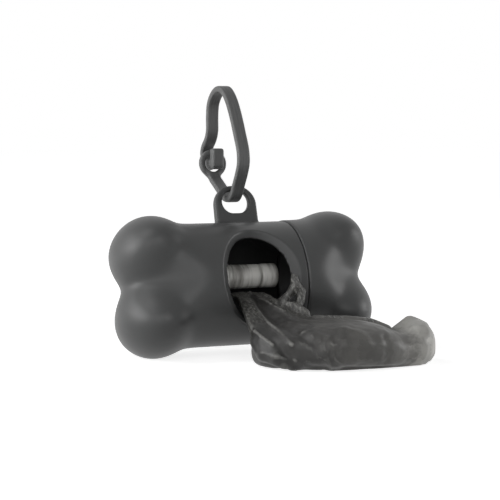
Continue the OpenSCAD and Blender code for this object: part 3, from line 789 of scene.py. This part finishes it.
def bag_film():
    """Thin film: dark in many layers, pale where it puffs up, crushed in places with painted glints,
    and with a painted highlight on sharp ridges.
    """
    material = bpy.data.materials.new("thin dark bag film")
    add, shader, links = node_maker(material)
    place = add("TexCoord").outputs["Object"]
    spread = add("SeparateXYZ", {"Vector": place})

    def ramped(value, low, high, start=0.0, end=1.0):
        return add("MapRange", {"Value": value, "From Min": low, "From Max": high,
                                "To Min": start, "To Max": end}).outputs["Result"]

    def worked(operation, *values):
        return add("Math", dict(enumerate(values)), operation=operation).outputs[0]

    def near(spot, reach):
        away = add("VectorMath", {0: place, 1: [c * MM for c in spot]}, operation="DISTANCE")
        return ramped(away.outputs["Value"], reach * MM, CRUSHED_FULLY * reach * MM)

    cloud = add("TexNoise", {"Vector": place, "Scale": 150, "Detail": 4, "Roughness": 0.6})
    wander = ramped(cloud.outputs["Fac"], *CLOUD_RANGE, -WANDER, WANDER)
    layers = ramped(worked("ADD", spread.outputs["X"], wander), FILM_FROM_X * MM, FILM_TO_X * MM)
    colour = colour_steps(add, layers, FILM_COLOURS)
    patches = add("VectorMath", {0: cloud.outputs["Color"], 1: PATCH_SHIFT, 2: place},
                  operation="MULTIPLY_ADD")
    overlap = add("TexVoronoi", {"Vector": patches.outputs["Vector"], "Scale": 170})
    laps = add("SeparateColor", {"Color": overlap.outputs["Color"]})
    shade = ramped(laps.outputs["Red"], 0, 1, *PATCH_SHADES)
    colour = add("MixRGB", {"Fac": 1.0, "Color1": colour, "Color2": shade}, blend_type="MULTIPLY")

    # The film beside the panel is crushed and gets painted glints, more so towards the hole.
    up_the_fall = worked("MAXIMUM", worked("ADD", spread.outputs["Y"], -PANEL_Y), 0.0)
    middle = worked("MULTIPLY_ADD", up_the_fall, *PANEL_MIDDLE)
    half = worked("MULTIPLY_ADD", up_the_fall, *PANEL_HALF)
    beside = worked("ABSOLUTE", worked("SUBTRACT", spread.outputs["X"], middle))
    outside = ramped(worked("SUBTRACT", beside, half), 0.0, PANEL_EDGE)
    towards_hole = ramped(spread.outputs["Y"], CRUSHED_FROM_Y, CRUSHED_FULL_Y)
    crushed_with_glints = worked("MULTIPLY", outside, towards_hole)
    for spot, reach in CRUSHED_GLINT_SPOTS:
        crushed_with_glints = worked("MAXIMUM", crushed_with_glints, near(spot, reach))

    stretched = add("Mapping", {"Vector": place, "Scale": (1900, 600, 900)})
    grain = add("TexNoise", {"Vector": stretched.outputs["Vector"], "Scale": 1, "Detail": 4,
                             "Roughness": 0.65})
    # Crushed film takes pale noisy colour as painted glints; its roughness and crinkle bump are real.
    painted_glints = colour_steps(add, grain.outputs["Fac"], CRUSHED_GLINT_COLOURS)
    # Pale colour on sharp ridges: a painted highlight.
    ridge_highlight = ramped(add("NewGeometry").outputs["Pointiness"], SLIGHT_BEND, FULL_BEND)
    ridge_highlighted = add("MixRGB", {"Fac": ridge_highlight, "Color1": colour.outputs["Color"], "Color2": RIDGE_HIGHLIGHT_COLOUR})
    mixed = add("MixRGB", {"Fac": crushed_with_glints, "Color1": ridge_highlighted.outputs["Color"], "Color2": painted_glints})
    links.new(mixed.outputs["Color"], shader.inputs["Base Color"])
    links.new(ramped(crushed_with_glints, 0, 1, *FILM_ROUGHNESS), shader.inputs["Roughness"])
    shader.inputs["IOR"].default_value = 1.5
    shader.inputs["Specular IOR Level"].default_value = 0.35
    depth = ramped(crushed_with_glints, 0, 1, *FILM_CRINKLE)
    bump = add("Bump", {"Height": grain.outputs["Fac"], "Strength": depth, "Distance": 0.0004})
    links.new(bump.outputs["Normal"], shader.inputs["Normal"])
    return material


FILM_STEP = 0.55
FILM_GROWTH = 0.02
FILM_HOLD = 0.10
CRUMPLE_FRAMES = 9
FILM_EASE = 0.5
EASE_ROUNDS = 2
FILM_CLEAR = 0.35
BAG_FROM = (-13.5, -57, -23.6)
BAG_TO = (53, -1.5, 6.5)
start, faces = skin_from(bag_field, BAG_FROM, BAG_TO, FILM_STEP)
points = start
points = crumpled(start, faces, FILM_GROWTH, FILM_HOLD, CRUMPLE_FRAMES)
points = relaxed(creased(start, points, faces), faces, FILM_EASE, EASE_ROUNDS)
bag = solid_piece("pulled_bag_film", kept_clear(points, FILM_CLEAR), faces, "shell")
bag.data.materials.append(bag_film())
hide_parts("pulled_bag")


# The strap is one moulding in soft dark grey rubber. It passes through the lug's
# slot and closes on itself: the knob at one end is buttoned through the ring.
# Its line is (back, up) in mm from the middle of the lug's bar.
STRAP_W = 4.0
STRAP_T = 2.0
STRAP_EDGE = 0.6
LUG_BAR = 1.8
BAR_X = -0.4
BAR_UP = LUG_TOP - LUG_BAR / 2
BAR_AT = (BAR_X, BAR_UP * math.sin(LEAN), BAR_UP * math.cos(LEAN))
STRAP_LINE = [
    (14.4, 4.8), (12.6, 2.9), (10.0, 1.4), (5.8, -0.9), (2.6, -2.6), (0.0, -3.2), (-2.8, -3.0),
    (-4.9, -1.5), (-6.8, 1.5), (-9.0, 4.9), (-10.5, 8.0), (-10.6, 10.8), (-9.8, 13.6),
    (-7.7, 17.5), (-5.4, 21.8), (-2.2, 26.7), (1.0, 30.0), (4.4, 31.8), (8.2, 31.7),
    (11.6, 30.0), (14.2, 27.0), (14.9, 22.6), (14.9, 18.6), (16.4, 15.6), (19.0, 13.2),
    (20.0, 10.8), (18.8, 8.8)]
RING_AT = (14.6, 7.8)
RING_TILT = math.radians(10)
RING_R = 4.6
RING_HOLE_R = 2.8
RING_EDGE = 0.5
RING_FILLET = 1.2
RING_HOLE_EDGE = 0.4
RING_HOLE_DEPTH = 2.5
KNOB_AT = 10.9
KNOB_FOOT = 6.0
KNOB_TOP = 12.8
KNOB_HALF_T = 1.7
KNOB_EDGE = 0.9
KNOB_FILLET = 0.8
KNOB_NECK_R = 1.9
KNOB_NECK_MIDDLE = -0.8
KNOB_NECK_HALF = 4.4


def smooth_line(points, steps):
    """Points along the smooth curve that passes through the given ones."""
    line = []
    count = len(points)
    for k in range(count - 1):
        a, b, c, d = [np.array(points[min(max(k + j, 0), count - 1)]) for j in (-1, 0, 1, 2)]
        for s in range(steps):
            t = s / steps
            line.append(0.5 * (2 * b + (c - a) * t + (2 * a - 5 * b + 4 * c - d) * t * t
                               + (3 * b - a - 3 * c + d) * t**3))
    return np.array(line + [np.array(points[-1])])


LINE_STEPS = 4
STRAP_CURVE = smooth_line(STRAP_LINE, LINE_STEPS)


def line_distance(line, u, v):
    """Distance in a plane from a line of many short steps."""
    best = np.full(np.shape(u), np.inf)
    for a, b in zip(line, line[1:]):
        step = b - a
        t = np.clip(((u - a[0]) * step[0] + (v - a[1]) * step[1]) / (step @ step), 0, 1)
        best = np.minimum(best, (u - a[0] - t * step[0]) ** 2 + (v - a[1] - t * step[1]) ** 2)
    return np.sqrt(best)


def rounded_section(a, b, half_a, half_b, r):
    """Distance from a rounded rectangle in the plane of a and b."""
    ga = np.abs(a) - half_a + r
    gb = np.abs(b) - half_b + r
    outside = np.sqrt(np.maximum(ga, 0) ** 2 + np.maximum(gb, 0) ** 2)
    return outside + np.minimum(np.maximum(ga, gb), 0) - r


def strap_field(x, y, z):
    """Distance from the strap: the band, the ring at one end and the knob at the other."""
    across, back, up = x - BAR_AT[0], y - BAR_AT[1], z - BAR_AT[2]
    from_line = line_distance(STRAP_CURVE, back, up)
    band = rounded_section(across, from_line, STRAP_W / 2, STRAP_T / 2, STRAP_EDGE)
    cos, sin = math.cos(RING_TILT), math.sin(RING_TILT)
    forth = -(back - RING_AT[0]) * cos + (up - RING_AT[1]) * sin
    rise = (back - RING_AT[0]) * sin + (up - RING_AT[1]) * cos
    out = np.sqrt(across**2 + rise**2)
    ring = rounded_section(out - (RING_R + RING_HOLE_R) / 2, forth, (RING_R - RING_HOLE_R) / 2,
                           STRAP_T / 2, RING_EDGE)
    looped = smooth_low(band, ring, RING_FILLET)
    holed = smooth_high(looped, RING_HOLE_R - out, RING_HOLE_EDGE)
    looped = np.where(np.abs(forth) < RING_HOLE_DEPTH, holed, looped)
    neck = np.maximum(out - KNOB_NECK_R, np.abs(forth - KNOB_NECK_MIDDLE) - KNOB_NECK_HALF)
    foot = KNOB_FOOT + KNOB_HALF_T
    bullet = np.sqrt((back - KNOB_AT) ** 2 + np.minimum(up - foot, 0) ** 2) - KNOB_HALF_T
    bullet = smooth_high(bullet, up - KNOB_TOP, KNOB_EDGE)
    head = smooth_high(bullet, np.abs(across) - STRAP_W / 2, KNOB_EDGE)
    return smooth_low(looped, smooth_low(head, neck, KNOB_FILLET), KNOB_FILLET)


RUBBER_COLOURS = [(0.32, (0.058, 0.059, 0.059)), (0.70, (0.090, 0.091, 0.091))]


def strap_rubber():
    """Soft dark grey rubber with faint streaks along the strap."""
    material = bpy.data.materials.new("soft strap rubber")
    add, shader, links = node_maker(material)
    place = add("TexCoord").outputs["Object"]
    along = add("Mapping", {"Vector": place, "Scale": (2600, 160, 160)})
    streak = add("TexNoise", {"Vector": along.outputs["Vector"], "Scale": 1, "Detail": 3})
    colour = colour_steps(add, streak.outputs["Fac"], RUBBER_COLOURS)
    links.new(colour, shader.inputs["Base Color"])
    shader.inputs["Roughness"].default_value = 0.55
    bump = add("Bump", {"Height": streak.outputs["Fac"], "Strength": 0.3, "Distance": 0.0001})
    links.new(bump.outputs["Normal"], shader.inputs["Normal"])
    return material


STRAP_STEP = 0.32
STRAP_FROM = (-5.4, -4.5, 23.4)
STRAP_TO = (4.6, 30.8, 63.8)
points, faces = skin_from(strap_field, STRAP_FROM, STRAP_TO, STRAP_STEP)
strap = solid_piece("strap_moulding", points, faces, "strap")
strap.data.materials.append(strap_rubber())
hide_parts("strap_clip")


# The surface it stands on is a white sheet that fades into a white room, lit by
# plain soft studio lamps. Its glow is seen and reflected, but never lights the object.
TABLE_SIZE = 6
TABLE_DROP = 0.3
TABLE_Z = (FLOOR_Z - TABLE_DROP) * MM
NEAR_LIFT = 0.79
FAR_LIFT = 1.0
FADE_FROM = 0.06
FADE_TO = 0.30


def seen_rays(add):
    """1 for rays from the camera and for those that shine or pass through, else 0."""
    ray = add("LightPath")
    either = add("Math", {0: ray.outputs["Is Camera Ray"], 1: ray.outputs["Is Glossy Ray"]},
                 operation="MAXIMUM")
    every = add("Math", {0: either.outputs[0], 1: ray.outputs["Is Transmission Ray"]},
                operation="MAXIMUM")
    return every.outputs[0]


def white_sheet():
    """White paper whose own glow rises from the object outwards."""
    material = bpy.data.materials.new("white sheet")
    add, shader, links = node_maker(material)
    place = add("TexCoord").outputs["Object"]
    away = add("VectorMath", {0: place}, operation="LENGTH")
    lift = add("MapRange", {"Value": away.outputs["Value"], "From Min": FADE_FROM,
                            "From Max": FADE_TO, "To Min": NEAR_LIFT, "To Max": FAR_LIFT},
               interpolation_type="SMOOTHSTEP")
    glow = add("Math", {0: seen_rays(add), 1: lift.outputs["Result"]}, operation="MULTIPLY")
    shader.inputs["Base Color"].default_value = (0.8, 0.8, 0.8, 1)
    shader.inputs["Roughness"].default_value = 1.0
    shader.inputs["Specular IOR Level"].default_value = 0.0
    shader.inputs["Emission Color"].default_value = (1, 1, 1, 1)
    links.new(glow.outputs[0], shader.inputs["Emission Strength"])
    return material


bpy.ops.mesh.primitive_plane_add(size=TABLE_SIZE, location=(0, 0, TABLE_Z))
table = bpy.context.object
table.name = "table"
table.data.materials.append(white_sheet())

ROOM_LIGHT = 0.0
world = bpy.data.worlds.new("white room")
bpy.context.scene.world = world
add, background, links = node_maker(world)
strength = add("MapRange", {"Value": seen_rays(add), "To Min": ROOM_LIGHT, "To Max": 1.0})
links.new(strength.outputs["Result"], background.inputs["Strength"])
background.inputs["Color"].default_value = (1, 1, 1, 1)


LAMP_SIZE = 0.35


def softbox(name, place, watts):
    """A square lamp that points at the object."""
    lamp = bpy.data.lights.new(name, "AREA")
    lamp.size = LAMP_SIZE
    lamp.energy = watts
    light = bpy.data.objects.new(name, lamp)
    bpy.context.scene.collection.objects.link(light)
    light.location = place
    light.rotation_euler = (-Vector(place)).to_track_quat("-Z", "Y").to_euler()


softbox("left lamp", (-0.61, 0.08, 0.08), 2.6)
softbox("left lamp behind", (-0.55, 0.30, 0.20), 0.9)
softbox("left lamp above", (-0.42, 0.0, 0.50), 1.0)
softbox("left lamp in front", (-0.50, -0.40, 0.15), 0.65)
softbox("front lamp", (-0.15, -0.59, 0.21), 0.9)
softbox("right lamp in front", (0.61, -0.15, 0.10), 1.5)


# The camera stands to the object's left and a little above it, with a long lens,
# so that the bone's two ends look nearly the same size.
AZIMUTH = math.radians(23.6)
ELEVATION = math.radians(5.7)
DISTANCE = 0.525
LENS = 118.7
SENSOR = 36
SHIFT = (0.017, 0.067)
NEAREST = 0.01
camera = bpy.data.objects.new("camera", bpy.data.cameras.new("camera"))
bpy.context.scene.collection.objects.link(camera)
toward = Vector((-math.sin(AZIMUTH) * math.cos(ELEVATION),
                 -math.cos(AZIMUTH) * math.cos(ELEVATION), math.sin(ELEVATION)))
camera.location = toward * DISTANCE
camera.rotation_euler = (-toward).to_track_quat("-Z", "Y").to_euler()
camera.data.lens = LENS
camera.data.sensor_width = SENSOR
camera.data.shift_x = SHIFT[0]
camera.data.shift_y = SHIFT[1]
camera.data.clip_start = NEAREST
bpy.context.scene.camera = camera
bpy.context.scene.view_settings.view_transform = "Standard"
